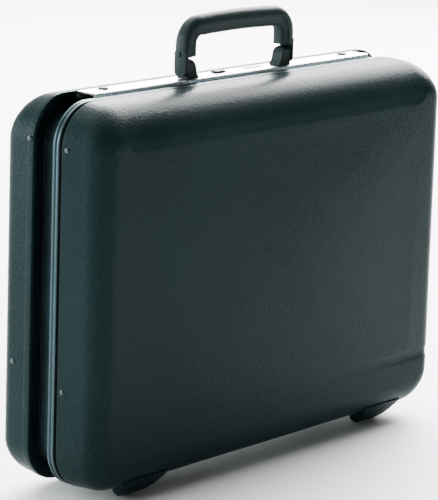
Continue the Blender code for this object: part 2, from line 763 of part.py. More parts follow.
def make_handle(material):
    """One-piece moulded handle: bow with a rounded grip, and a cheek outside each bracket."""
    rings = []
    for spot, angle, thick in handle_path():
        out = (-math.sin(angle), math.cos(angle))
        ring = []
        for across, deep in handle_section(thick, HANDLE_DEEP):
            place = (spot[0] + out[0] * across, HANDLE_Y + deep, spot[1] + out[1] * across)
            ring.append(Vector(place))
        rings.append(ring)
    handle = loft("handle", rings, material)
    cheeks = []
    for side in (-1, 1):
        top = PIVOT_Z + 12 * MM
        rounded = [(HANDLE_Y + CHEEK_HALF, top), (HANDLE_Y - CHEEK_HALF, top)]
        for turn, offset in ((2, CHEEK_RADIUS - CHEEK_HALF), (3, CHEEK_HALF - CHEEK_RADIUS)):
            for k in range(5):
                angle = math.pi / 2 * (turn + k / 4)
                across = HANDLE_Y + offset + CHEEK_RADIUS * math.cos(angle)
                low_z = PIVOT_Z - CHEEK_DROP + CHEEK_RADIUS * (1 + math.sin(angle))
                rounded.append((across, low_z))
        low, high = sorted((side * CHEEK_IN, side * CHEEK_OUT))
        cheeks.append(extrude_profile("cheek", rounded, 0, low, high, material))
    combine(handle, cheeks, "UNION")
    bore_end = PIN_ENDS[1] + GAP
    bore = lathe(
        "bore", [(-bore_end, HANDLE_PIN + RUNNING), (bore_end, HANDLE_PIN + RUNNING)],
        0, (0, HANDLE_Y, PIVOT_Z), 16, material,
    )
    combine(handle, [bore], "DIFFERENCE")
    finish_mirrored(handle, "handle", 1, (0, HANDLE_Y, PIVOT_Z))
    shade_round(handle, 35)


def make_pocket(material):
    """Flat document pocket on the lid lining."""
    back = REAR_FACE - WALL - LINING_GAP - LINING - GAP
    rings = []
    for level, inset in ((back, 0.0), (back - 2.2 * MM, 0.0), (back - 3.2 * MM, 1.2 * MM)):
        ring = rounded_rectangle(160 * MM - inset, 95 * MM - inset, 10 * MM, 4)
        rings.append([Vector((a, level, 150 * MM + b)) for a, b in ring])
    loft("document_pocket", rings, material)


def main():
    """Build every piece of the case."""
    clear_scene()
    shell_plastic = make_material("shell_plastic", (0.03, 0.05, 0.05), 0.5)
    trim_plastic = make_material("trim_plastic", (0.02, 0.03, 0.03), 0.5)
    aluminium = make_material("frame_aluminium", (0.25, 0.28, 0.29), 0.4, 1.0)
    bright = make_material("plate_aluminium", (0.85, 0.86, 0.87), 0.3, 1.0)
    steel = make_material("steel", (0.5, 0.5, 0.5), 0.35, 1.0)
    dark_metal = make_material("rivet_metal", (0.05, 0.05, 0.05), 0.4, 1.0)
    rubber = make_material("seal_rubber", (0.01, 0.01, 0.01), 0.8)
    cloth = make_material("lining_fabric", (0.05, 0.05, 0.06), 0.9)
    dial_brass = make_material("dial_metal", (0.3, 0.3, 0.3), 0.4, 1.0)

    front = make_shell("front_shell", FRONT_FACE, FRONT_RIM, shell_plastic, 0.0)
    rear = make_shell("rear_shell", REAR_FACE, REAR_RIM, shell_plastic, LIP_STEP)
    make_rivets(front, rear, dark_metal)
    shade_round(front, 30)
    shade_round(rear, 30)
    shade_round(make_lining("base_lining", FRONT_FACE, FRONT_RIM, -17.5 * MM, cloth, 0.0), 30)
    shade_round(make_lining("lid_lining", REAR_FACE, REAR_RIM, 31 * MM, cloth, LIP_STEP), 30)
    shade_round(make_frame("base_frame", base_frame_profile(), aluminium), 30)
    shade_round(make_frame("lid_frame", lid_frame_profile(), aluminium), 30)
    shade_round(make_frame("frame_seal", seal_profile(), rubber), 30)
    make_pocket(cloth)
    make_plate(bright)
    make_lock_body(steel)
    make_dials(dial_brass, steel)
    make_slider(trim_plastic)
    make_handle(trim_plastic)
    for label, side in (("left", -1), ("right", 1)):
        make_button(label, side, trim_plastic)
        make_hook(label, side, steel)
        make_latch_housing(label, side, steel, steel)
        make_striker(label, side, steel)
        make_hinge(label, side, steel, steel)
        make_bracket(label, side, trim_plastic, steel)
        make_foot(f"front_foot_{label}", side, FRONT_FACE, FRONT_RIM, trim_plastic, 0.0)
        make_foot(f"rear_foot_{label}", side, REAR_FACE, REAR_RIM, trim_plastic, LIP_STEP)


main()
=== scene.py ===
import math

import bmesh
import bpy
from mathutils import Matrix, Vector


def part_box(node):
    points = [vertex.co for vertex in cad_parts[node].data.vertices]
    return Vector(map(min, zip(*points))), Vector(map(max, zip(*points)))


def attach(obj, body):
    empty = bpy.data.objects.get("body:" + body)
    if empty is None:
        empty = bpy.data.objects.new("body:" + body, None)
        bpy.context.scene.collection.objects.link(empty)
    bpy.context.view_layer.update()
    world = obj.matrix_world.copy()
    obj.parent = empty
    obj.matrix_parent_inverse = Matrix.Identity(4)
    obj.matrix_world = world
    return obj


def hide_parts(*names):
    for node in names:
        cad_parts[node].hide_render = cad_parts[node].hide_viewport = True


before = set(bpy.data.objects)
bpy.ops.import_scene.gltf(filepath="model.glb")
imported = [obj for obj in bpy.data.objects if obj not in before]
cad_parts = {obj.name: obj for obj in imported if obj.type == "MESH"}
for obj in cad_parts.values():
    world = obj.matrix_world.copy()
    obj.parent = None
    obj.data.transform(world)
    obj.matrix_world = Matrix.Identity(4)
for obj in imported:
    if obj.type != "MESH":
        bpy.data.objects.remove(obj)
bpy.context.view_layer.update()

MM = 0.001

# Extents of the closed case, read back from the CAD pieces.
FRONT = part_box("front_shell")
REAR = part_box("rear_shell")
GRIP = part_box("handle")
HALF_WIDTH = FRONT[1][0]
LOW_Z = FRONT[0][2]
TOP_Z = FRONT[1][2]
MID_Z = (LOW_Z + TOP_Z) / 2
HALF_HEIGHT = (TOP_Z - LOW_Z) / 2
FRONT_FACE = FRONT[0][1]
FRONT_RIM = FRONT[1][1]
REAR_RIM = REAR[0][1]
REAR_FACE = REAR[1][1]

# Corner radii of the outline, then the rounding of the face edges.
TOP_CORNER = 36 * MM
BOTTOM_CORNER = 34.5 * MM
FRONT_SIDE_EDGE = 18 * MM
REAR_SIDE_EDGE = 14 * MM
FRONT_TOP_EDGE = 34 * MM
REAR_TOP_EDGE = 26 * MM
BOTTOM_EDGE = 24 * MM

# The front face bulges by FRONT_CROWN; the rear shell stands REAR_RISE higher along the top.
FRONT_CROWN = 6 * MM
CROWN_CORNER = 100 * MM
REAR_RISE = 3 * MM
CROWN_SCALES = (0.97, 0.93, 0.87, 0.8, 0.72, 0.63, 0.53, 0.43, 0.33, 0.24, 0.15)

# Draft and thickness of the walls, and the step along the rear shell's rim.
DRAFT = math.tan(math.radians(3.5))
WALL = 3 * MM
LINING = 1.5 * MM
LINING_GAP = 0.6 * MM
LIP_STEP = 0.8 * MM
LIP_WIDTH = 6.5 * MM

OUTLINE_STEPS = 20
FACE_EDGE_STEPS = 10
LINING_EDGE_STEPS = 6


# ---------------------------------------------------------------- materials


class Nodes:
    """Shorthand for building one material's node tree on object coordinates."""

    def __init__(self, name):
        self.material = bpy.data.materials.new(name)
        self.material.use_nodes = True
        self.tree = self.material.node_tree
        self.shader = self.tree.nodes["Principled BSDF"]
        self.coords = self.tree.nodes.new("ShaderNodeTexCoord").outputs["Object"]

    def node(self, kind, **values):
        made = self.tree.nodes.new("ShaderNode" + kind)
        for key, value in values.items():
            if key in made.inputs:
                made.inputs[key].default_value = value
            else:
                setattr(made, key, value)
        return made

    def link(self, source, target):
        self.tree.links.new(source, target)

    def scaled(self, scale):
        mapping = self.node("Mapping")
        mapping.inputs["Scale"].default_value = scale
        self.link(self.coords, mapping.inputs["Vector"])
        return mapping.outputs["Vector"]

    def noise(self, scale, detail=4.0, roughness=0.5, vector=None):
        made = self.node("TexNoise", Scale=scale, Detail=detail, Roughness=roughness)
        self.link(vector or self.coords, made.inputs["Vector"])
        return made.outputs["Fac"]

    def ramp(self, source, stops):
        made = self.node("ValToRGB")
        ramp = made.color_ramp
        while len(ramp.elements) < len(stops):
            ramp.elements.new(0.5)
        for element, (place, colour) in zip(ramp.elements, stops):
            element.position = place
            element.color = (*colour, 1.0) if len(colour) == 3 else colour
        self.link(source, made.inputs["Fac"])
        return made.outputs["Color"]

    def grey(self, source, stops):
        return self.ramp(source, [(place, (v, v, v)) for place, v in stops])

    def math(self, operation, first, second):
        made = self.node("Math")
        made.operation = operation
        for socket, value in zip(made.inputs, (first, second)):
            if isinstance(value, (int, float)):
                socket.default_value = value
            else:
                self.link(value, socket)
        return made.outputs[0]

    def mix(self, factor, first, second):
        made = self.node("Mix")
        made.data_type = "RGBA"
        self.link(factor, made.inputs["Factor"])
        colours = [s for s in made.inputs if s.type == "RGBA"]
        for socket, value in zip(colours, (first, second)):
            if isinstance(value, tuple):
                socket.default_value = (*value, 1.0)
            else:
                self.link(value, socket)
        return [s for s in made.outputs if s.type == "RGBA"][0]

    def bump(self, height, strength, distance, normal=None):
        made = self.node("Bump", Strength=strength, Distance=distance)
        self.link(height, made.inputs["Height"])
        if normal is not None:
            self.link(normal, made.inputs["Normal"])
        return made.outputs["Normal"]

    def set(self, **values):
        for key, value in values.items():
            socket = self.shader.inputs[key.replace("_", " ")]
            if isinstance(value, (int, float)):
                socket.default_value = value
            elif isinstance(value, tuple):
                socket.default_value = (*value, 1.0) if len(value) == 3 else value
            else:
                self.link(value, socket)


def grained_plastic(name, dark, light, grain, strength, rough, gloss):
    """Moulded plastic with a fine pebbled grain, slight cloudiness and eased edges."""
    n = Nodes(name)
    cells = n.node("TexVoronoi", Scale=grain, Randomness=1.0)
    n.link(n.coords, cells.inputs["Vector"])
    fine = n.noise(grain * 1.7, 3.0, 0.6)
    cloud = n.noise(7.0, 3.0, 0.55)
    speck = n.noise(grain * 0.9, 2.0, 0.7)
    base = n.ramp(cloud, [(0.3, dark), (0.75, light)])
    tone = n.grey(speck, [(0.35, 0.0), (0.72, 0.35)])
    colour = n.mix(tone, base, tuple(1.8 * c for c in light))
    eased = n.node("Bevel", Radius=0.0012, samples=4)
    n.set(Base_Color=colour)
    rough_map = n.grey(cloud, [(0.25, rough - 0.05), (0.75, rough + 0.06)])
    n.set(Roughness=rough_map, Specular_IOR_Level=gloss)
    height = n.math("ADD", n.math("MULTIPLY", cells.outputs["Distance"], 0.8), n.math("MULTIPLY", fine, 0.5))
    first = n.bump(height, strength, 0.00025, eased.outputs["Normal"])
    n.set(Normal=n.bump(n.noise(14.0, 2.0), 0.06, 0.002, first))
    return n.material


BRUSHING = (4.0, 260.0, 260.0)


def brushed_metal(name, colour, dark, rough):
    """Satin metal brushed along X, with faint handling marks."""
    n = Nodes(name)
    strokes = n.noise(6.0, 5.0, 0.65, n.scaled(BRUSHING))
    marks = n.noise(38.0, 4.0, 0.6)
    n.set(Base_Color=n.ramp(strokes, [(0.25, dark), (0.7, colour)]))
    base = n.grey(marks, [(0.3, rough - 0.05), (0.7, rough + 0.09)])
    n.set(Roughness=base, Metallic=1.0, Anisotropic=0.4)
    n.set(Normal=n.bump(strokes, 0.25, 0.00008))
    return n.material


def plated_steel(name, colour, rough):
    """Zinc-plated pressing with soft spangle and dull patches."""
    n = Nodes(name)
    patch = n.noise(90.0, 4.0, 0.6)
    tint = tuple(0.72 * c for c in colour)
    n.set(Base_Color=n.ramp(patch, [(0.3, tint), (0.7, colour)]), Metallic=1.0)
    n.set(Roughness=n.grey(patch, [(0.3, rough - 0.06), (0.7, rough + 0.1)]))
    n.set(Normal=n.bump(n.noise(420.0, 3.0), 0.12, 0.0001))
    return n.material


def seal_rubber():
    """Matt black extruded rubber."""
    n = Nodes("seal_rubber")
    dust = n.noise(60.0, 5.0, 0.6)
    n.set(Base_Color=n.ramp(dust, [(0.35, (0.006, 0.007, 0.007)), (0.8, (0.02, 0.022, 0.022))]))
    n.set(Roughness=n.grey(dust, [(0.3, 0.7), (0.7, 0.85)]), Normal=n.bump(n.noise(500.0), 0.15, 0.0001))
    n.set(Specular_IOR_Level=0.1)
    return n.material


def lining_cloth(name, dark, light, thread=1500.0):
    """Woven lining with sheen, thread relief and slight mottling."""
    n = Nodes(name)
    waves = []
    for axis in ("X", "Z"):
        wave = n.node("TexWave", Scale=thread / 6.0, Distortion=0.6, Detail=1.0)
        wave.bands_direction = axis
        n.link(n.coords, wave.inputs["Vector"])
        waves.append(wave.outputs["Fac"])
    weave = n.math("MULTIPLY", waves[0], waves[1])
    mottled = n.noise(30.0, 5.0, 0.65)
    tone = n.math("ADD", n.math("MULTIPLY", weave, 0.35), n.math("MULTIPLY", mottled, 0.65))
    n.set(Base_Color=n.ramp(tone, [(0.2, dark), (0.8, light)]), Roughness=0.9, Sheen_Weight=0.35)
    n.set(Sheen_Roughness=0.4, Normal=n.bump(weave, 0.35, 0.0003))
    return n.material


SHELL = grained_plastic(
    "shell_grain", (0.0034, 0.0094, 0.0100), (0.0062, 0.0146, 0.0152),
    grain=430.0, strength=0.85, rough=0.31, gloss=0.022,
)
TRIM = grained_plastic(
    "trim_grain", (0.0060, 0.0120, 0.0125), (0.0100, 0.0185, 0.0190),
    grain=1500.0, strength=0.22, rough=0.36, gloss=0.06,
)
VALANCE = brushed_metal("valance", (0.024, 0.043, 0.049), (0.015, 0.028, 0.032), 0.36)
BRIGHT = brushed_metal("plate", (0.93, 0.94, 0.95), (0.80, 0.82, 0.84), 0.27)
STEEL = plated_steel("steel", (0.55, 0.56, 0.57), 0.34)
RIVET = plated_steel("rivet", (0.035, 0.045, 0.048), 0.33)
DIAL = plated_steel("dial", (0.16, 0.17, 0.18), 0.32)
RUBBER = seal_rubber()
CLOTH = lining_cloth("lining", (0.018, 0.019, 0.022), (0.05, 0.052, 0.06))
POCKET = lining_cloth("pocket", (0.012, 0.013, 0.016), (0.036, 0.038, 0.046), 1100.0)
INK = plated_steel("numbers", (0.9, 0.9, 0.88), 0.5)


# ---------------------------------------------------------------- mesh helpers


def new_piece(name, body, material, rides, replaced, angle):
    """Turn a bmesh into a shown piece riding on a body; edges sharper than angle stay sharp."""
    bmesh.ops.recalc_face_normals(body, faces=body.faces)
    if body.calc_volume(signed=True) < 0:
        bmesh.ops.reverse_faces(body, faces=body.faces)
    mesh = bpy.data.meshes.new(name)
    body.to_mesh(mesh)
    body.free()
    mesh.materials.append(material)
    mesh.shade_smooth()
    mesh.set_sharp_from_angle(angle=math.radians(angle))
    piece = bpy.data.objects.new(name, mesh)
    bpy.context.scene.collection.objects.link(piece)
    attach(piece, rides)
    if replaced:
        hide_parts(*replaced)
    return piece


def add_skin(body, rings, cyclic=False):
    """Add a skin over a row of rings, closed on itself or capped at both ends."""
    rows = [[body.verts.new(point) for point in ring] for ring in rings]
    pairs = list(zip(rows, rows[1:]))
    if cyclic:
        pairs.append((rows[-1], rows[0]))
    for low, high in pairs:
        for k in range(len(low)):
            after = (k + 1) % len(low)
            body.faces.new((low[k], low[after], high[after], high[k]))
    if not cyclic:
        body.faces.new(rows[0])
        body.faces.new(rows[-1])


def skin(rings, cyclic=False):
    """The same skin as a bmesh of its own."""
    body = bmesh.new()
    add_skin(body, rings, cyclic)
    return body


def outline_points():
    """Corner centre, radius and outward normal along the case outline."""
    points = []
    corners = ((1, 1, TOP_CORNER), (-1, 1, TOP_CORNER), (-1, -1, BOTTOM_CORNER), (1, -1, BOTTOM_CORNER))
    for quarter, (side, up, radius) in enumerate(corners):
        centre = (side * (HALF_WIDTH - radius), MID_Z + up * (HALF_HEIGHT - radius))
        for k in range(OUTLINE_STEPS + 1):
            angle = math.pi / 2 * (quarter + k / OUTLINE_STEPS)
            points.append((centre, radius, (math.cos(angle), math.sin(angle))))
    return points


def outline_ring(inset, level, rise=0.0):
    """Ring round the case; inset and level depend on the upward part of the normal."""
    ring = []
    for centre, radius, normal in outline_points():
        reach = radius - inset(normal[1]) + rise * max(normal[1], 0.0) ** 2
        ring.append(
            Vector((centre[0] + reach * normal[0], level(normal[1]), centre[1] + reach * normal[1]))
        )
    return ring


def flat_ring(inset, level, rise=0.0):
    """Ring with one inset and one depth all round."""
    return outline_ring(lambda up: inset, lambda up: level, rise)


def edge_radius(up, face):
    """Rounding of the face edge: broad along the top, tight at the ends."""
    near = REAR_SIDE_EDGE if face > 0 else FRONT_SIDE_EDGE
    far = BOTTOM_EDGE
    if up > 0:
        far = REAR_TOP_EDGE if face > 0 else FRONT_TOP_EDGE
    return near + (far - near) * up * up


def crown_rings(ring, rise):
    """Rings from the small flat middle of a crowned face out to the ring at its edge."""
    half_x = max(point.x for point in ring)
    half_z = max(abs(point.z - MID_Z) for point in ring)
    flat = (1 - CROWN_SCALES[-1] ** 2) ** 2
    normals = [point[2] for point in outline_points()]
    rings = []
    for scale in reversed(CROWN_SCALES):
        crowned = []
        for point, normal in zip(ring, normals):
            side = 1 if point.x > 0 else -1
            lift = 1 if point.z > MID_Z else -1
            round_x = side * (half_x - CROWN_CORNER) + CROWN_CORNER * normal[0]
            round_z = lift * (half_z - CROWN_CORNER) + CROWN_CORNER * normal[1]
            across = scale * (point.x * scale + round_x * (1 - scale))
            up = scale * ((point.z - MID_Z) * scale + round_z * (1 - scale))
            bulge = (1 - (across / half_x) ** 2) * (1 - (up / half_z) ** 2)
            crowned.append(Vector((across, point.y + rise * min(1, bulge / flat), MID_Z + up)))
        rings.append(crowned)
    return rings


def wall_rings(face, rim, start, offset, lip=0.0, edge_steps=FACE_EDGE_STEPS):
    """Rings of a surface that lies offset inside the shell, from the face out to the level start."""
    side = 1 if face > 0 else -1
    crown = 0.0 if face > 0 else FRONT_CROWN
    rise = REAR_RISE if face > 0 else 0.0
    edge = face - side * crown
    depth = abs(edge - rim)

    def inset(up, angle):
        radius = edge_radius(up, face)
        return DRAFT * (depth - radius) + lip + radius - (radius - offset) * math.cos(angle)

    def level(up, angle):
        radius = edge_radius(up, face)
        return edge - side * (radius - (radius - offset) * math.sin(angle))

    rings = []
    for k in range(edge_steps + 1):
        angle = math.pi / 2 * (1 - k / edge_steps)
        rings.append(
            outline_ring(lambda up, a=angle: inset(up, a), lambda up, a=angle: level(up, a), rise)
        )
    if crown:
        rings = crown_rings(rings[0], side * crown) + rings
    rings.append(flat_ring(offset + lip + DRAFT * abs(start - rim), start, rise))
    return rings


# ---------------------------------------------------------------- shells and frames


BAND_LEVELS = [z * MM for z in (54.6, 55.6, 56.6, 62.8, 63.8, 64.8)]
BAND_DEPTH = 0.7 * MM


def band_groove(body, face):
    """Shallow moulded band low on the face that fades out towards the left end."""
    levels = BAND_LEVELS
    for level in levels:
        geometry = list(body.verts) + list(body.edges) + list(body.faces)
        bmesh.ops.bisect_plane(
            body, geom=geometry, plane_co=(0, 0, level), plane_no=(0, 0, 1), dist=1e-7
        )
    for vert in body.verts:
        if not levels[0] < vert.co.z < levels[-1] or vert.co.y > face + 20 * MM:
            continue
        low = (vert.co.z - levels[0]) / (levels[2] - levels[0])
        high = (levels[-1] - vert.co.z) / (levels[-1] - levels[3])
        share = max(0.0, min(1.0, low, high))
        along = max(0.0, min(1.0, (vert.co.x / HALF_WIDTH + 0.3) / 1.2))
        inward = Vector((0, 1, 0)) if vert.co.y < face + 9 * MM else Vector((-1, 0.6, 0))
        vert.co += inward * BAND_DEPTH * share * along * along


def make_shell(name, face, rim, lip, body_name):
    """Moulded shell: inside surface, rounded rim (with its lip, if any) and outside surface."""
    side = 1 if face > 0 else -1
    rise = REAR_RISE if face > 0 else 0.0
    rings = wall_rings(face, rim, rim + side * 0.5 * MM, WALL, lip)
    wall_start = rim + side * (LIP_WIDTH + LIP_STEP)
    outer = wall_rings(face, rim, wall_start if lip else rim + side * 0.8 * MM, 0.0, lip)
    rim_edge = [(WALL + lip - 0.4 * MM, 0.0), (0.7 * MM, 0.0), (0.25 * MM, 0.2 * MM), (0.03 * MM, 0.55 * MM)]
    if lip:
        rim_edge += [
            (0.0, LIP_WIDTH - 0.6 * MM), (0.12 * MM, LIP_WIDTH - 0.1 * MM),
            (LIP_STEP + 0.1 * MM, LIP_WIDTH + 0.4 * MM),
        ]
    rings += [flat_ring(inset, rim + side * back, rise) for inset, back in rim_edge]
    rings += list(reversed(outer))
    body = skin(rings)
    if face < 0:
        band_groove(body, face)
    return new_piece(name + "_skin", body, SHELL, body_name, (name,), 28)


def make_lining(name, face, rim, start, lip, body_name):
    """Flocked tray inside a shell."""
    gap = WALL + LINING_GAP
    outside = wall_rings(face, rim, start, gap, lip, LINING_EDGE_STEPS)
    inside = wall_rings(face, rim, start, gap + LINING, lip, LINING_EDGE_STEPS)
    body = skin(inside + list(reversed(outside)))
    return new_piece(name + "_cloth", body, CLOTH, body_name, (name,), 28)


def make_frame(name, profile, material, body_name, dark=0):
    """Extruded profile of depth, inset and share of the rear shell's rise, bent round the case.

    The first few strips, as many as dark says, are the rubber bedding of the joint.
    """
    rings = [flat_ring(inset * MM, level * MM, share * REAR_RISE) for level, inset, share in profile]
    piece = new_piece(name + "_profile", skin(rings, cyclic=True), material, body_name, (name,), 30)
    piece.data.materials.append(RUBBER)
    for face in piece.data.polygons[: dark * len(rings[0])]:
        face.material_index = 1
    return piece


# Depth and inset in millimetres; the lid's and the seal's also have their share of REAR_RISE.
BASE_PROFILE = (
    (-16.0, 3.9), (-9.0, 3.4), (-6.0, 3.4), (-6.0, 0.9), (-5.8, 0.45), (-5.4, 0.25), (-4.8, 0.2),
    (-3.6, 0.2), (-3.2, 0.35), (-2.8, 0.9), (-2.5, 1.0), (-2.2, 0.9), (-1.8, 0.35), (-1.4, 0.2),
    (0.1, 0.2), (0.6, 0.3), (0.9, 0.6), (1.0, 1.0), (1.0, 4.8), (1.3, 5.3), (5.8, 7.4), (6.2, 7.9),
    (7.1, 12.7), (7.6, 13.0), (21.0, 13.0), (21.0, 14.5), (6.0, 14.5), (4.9, 8.7), (-0.4, 6.2),
    (-16.0, 5.4),
)
LID_PROFILE = (
    (22.3, 4.2, 1.0), (30.0, 4.7, 1.0), (30.0, 6.2, 1.0), (23.8, 5.8, 1.0), (23.8, 17.0, 0.0),
    (22.3, 17.0, 0.0),
)
SEAL_PROFILE = (
    (21.3, 12.6, 0.0), (21.5, 12.4, 0.0), (22.0, 12.4, 0.0), (22.0, 16.4, 0.0), (21.5, 16.4, 0.0),
    (21.3, 16.2, 0.0), (21.6, 14.4, 0.0),
)

make_shell("front_shell", FRONT_FACE, FRONT_RIM, 0.0, "base")
make_shell("rear_shell", REAR_FACE, REAR_RIM, LIP_STEP, "lid")
make_lining("base_lining", FRONT_FACE, FRONT_RIM, -17.5 * MM, 0.0, "base")
make_lining("lid_lining", REAR_FACE, REAR_RIM, 31 * MM, LIP_STEP, "lid")
make_frame("base_frame", [(*pair, 0.0) for pair in BASE_PROFILE], VALANCE, "base", 3)
make_frame("lid_frame", LID_PROFILE, VALANCE, "lid")
make_frame("frame_seal", SEAL_PROFILE, RUBBER, "lid")


# ---------------------------------------------------------------- CAD nodes shown themselves


def dress(names, material, bevel=0.0):
    """Give CAD nodes a material, and eased edges where a width is given."""
    for name in names:
        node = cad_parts[name]
        node.data.materials.clear()
        node.data.materials.append(material)
        if bevel:
            weld = node.modifiers.new("weld", "WELD")
            weld.merge_threshold = 1e-6
            ease = node.modifiers.new("ease", "BEVEL")
            ease.width = bevel
            ease.segments = 2
            ease.limit_method = "ANGLE"
            ease.angle_limit = math.radians(35)
            ease.harden_normals = False


LR = ("left", "right")
dress(["lock_plate"], BRIGHT, 0.25 * MM)
dress(["lock_body", "dial_shaft"], STEEL)
for side in LR:
    dress([f"handle_bracket_{side}"], TRIM, 0.6 * MM)
    dress([f"front_foot_{side}", f"rear_foot_{side}"], SHELL)
    dress([f"release_button_{side}"], TRIM, 0.2 * MM)
    dress([f"handle_pin_{side}", f"hinge_pin_{side}", f"latch_pin_{side}"], STEEL)
    dress([f"latch_hook_{side}", f"latch_housing_{side}", f"striker_{side}"], STEEL, 0.2 * MM)
    dress([f"hinge_base_leaf_{side}", f"hinge_lid_leaf_{side}"], STEEL, 0.2 * MM)
    dress([f"{end}_rivet_{side}_{at}" for end in ("front", "rear") for at in ("upper", "lower")], RIVET)
dress(["lock_slider"], TRIM, 0.25 * MM)


# ---------------------------------------------------------------- handle


HANDLE_Y = (GRIP[0][1] + GRIP[1][1]) / 2
HANDLE_DEEP = GRIP[1][1] - GRIP[0][1]
CHEEK_OUT = GRIP[1][0]
ARCH = 1.2 * MM
GRIP_TOP = GRIP[1][2] - ARCH
HANDLE_LOW = GRIP[0][2]
CHEEK_DROP = 8.9 * MM
PIVOT_Z = HANDLE_LOW + CHEEK_DROP
CHEEK_HALF = 6.9 * MM
CHEEK_RADIUS = 4.5 * MM
BEND = 23 * MM
LEG_THICK = 14.6 * MM
GRIP_THICK = 17.5 * MM


def handle_path(bend_steps=14, top_steps=12):
    """Centre, tangent angle and thickness of the bow from the left leg to the right."""
    half = CHEEK_OUT - LEG_THICK / 2
    bottom = PIVOT_Z + 7.6 * MM
    centre_x = CHEEK_OUT - BEND
    centre_z = GRIP_TOP - BEND
    leg_levels = (0.0, 1.0, 3.0, 6.0)
    stations = [((-half, bottom + up * MM), math.pi / 2, LEG_THICK) for up in leg_levels]
    for k in range(bend_steps + 1):
        share = k / bend_steps
        angle = math.pi * (1 - share / 2)
        thick = LEG_THICK + (GRIP_THICK - LEG_THICK) * share
        reach = BEND - thick / 2
        spot = (-centre_x + reach * math.cos(angle), centre_z + reach * math.sin(angle))
        stations.append((spot, angle - math.pi / 2, thick))
    top = GRIP_TOP - GRIP_THICK / 2
    for k in range(1, top_steps + 1):
        share = k / top_steps
        arch = ARCH * (1 - (1 - share) ** 2)
        stations.append(((-centre_x * (1 - share), top + arch), 0.0, GRIP_THICK))
    right = [((-spot[0], spot[1]), -angle, thick) for spot, angle, thick in reversed(stations[:-1])]
    return stations + right


def handle_section(thick, square):
    """Upper part from round to square, a parting step, and a fluted lower part."""
    half_t = thick / 2
    half_d = HANDLE_DEEP / 2
    inner = half_d - 1.0 * MM
    rear = []
    for k in range(1, 7):
        angle = math.pi / 2 * (1 - k / 6)
        power = 1 - 0.62 * square
        up = max(math.sin(angle), 0.0) ** power
        rear.append((0.5 * MM + (half_t - 0.5 * MM) * up, half_d * math.cos(angle) ** power))
    rear.insert(0, (half_t, half_d * 0.12))
    rear += [(0.1 * MM, half_d), (-0.3 * MM, inner + 0.2 * MM), (-0.6 * MM, inner)]
    low = -half_t + 1.6 * MM
    for k in range(1, 7):
        depth = 0.35 * MM if k % 2 else 0.0
        rear.append((-0.6 * MM + (low + 0.6 * MM) * k / 6, inner - depth))
    rear += [(-half_t + 0.5 * MM, inner - 0.6 * MM), (-half_t, inner - 1.7 * MM), (-half_t, 1.5 * MM)]
    return rear + [(across, -deep) for across, deep in reversed(rear)]


def cheek_outline(shrink):
    """Side view of the cheek that carries the pivot, with rounded lower corners."""
    half = CHEEK_HALF - shrink
    radius = CHEEK_RADIUS - shrink * 0.5
    low = HANDLE_LOW + shrink
    top = PIVOT_Z + 12 * MM
    pairs = [(HANDLE_Y + half, top), (HANDLE_Y - half, top)]
    for turn, centre in ((2, radius - half), (3, half - radius)):
        for k in range(7):
            angle = math.pi / 2 * (turn + k / 6)
            pairs.append(
                (HANDLE_Y + centre + radius * math.cos(angle), low + radius * (1 + math.sin(angle)))
            )
    return pairs


def make_handle():
    """One-piece moulded handle: bow with a stepped grip and a cheek outside each bracket."""
    rings = []
    for spot, angle, thick in handle_path():
        out = (-math.sin(angle), math.cos(angle))
        ring = []
        square = (GRIP_THICK - thick) / (GRIP_THICK - LEG_THICK)
        for across, deep in handle_section(thick, square):
            ring.append(Vector((spot[0] + out[0] * across, HANDLE_Y + deep, spot[1] + out[1] * across)))
        rings.append(ring)
    body = skin(rings)
    for side in (-1, 1):
        layers = []
        for across, shrink in ((68.6, 0.0), (70.6, 0.0), (71.2, 0.15), (71.5, 0.5), (71.6, 1.0)):
            x = min(across * MM, CHEEK_OUT)
            layers.append([Vector((side * x, y, z)) for y, z in cheek_outline(shrink * MM)])
        add_skin(body, layers)
    new_piece("handle_bow", body, TRIM, "handle", ("handle",), 38)


make_handle()


# ---------------------------------------------------------------- number wheels


# Seven-segment numerals: place across, place along, and whether the stroke lies across.
SEGMENTS = {
    "top": (0.0, 1.0, True), "mid": (0.0, 0.0, True), "low": (0.0, -1.0, True),
    "ul": (-1.0, 0.5, False), "ur": (1.0, 0.5, False),
    "ll": (-1.0, -0.5, False), "lr": (1.0, -0.5, False),
}
DIGITS = (
    "top low ul ur ll lr", "ur lr", "top mid low ur ll", "top mid low ur lr", "mid ul ur lr",
    "top mid low ul lr", "top mid low ul ll lr", "top ur lr", "top mid low ul ur ll lr",
    "top mid low ul ur lr",
)


# Teeth round a wheel, and its bore radius and tooth depth in millimetres.
WHEEL_TEETH = 40
WHEEL_BORE = 1.26
KNURL = 0.22


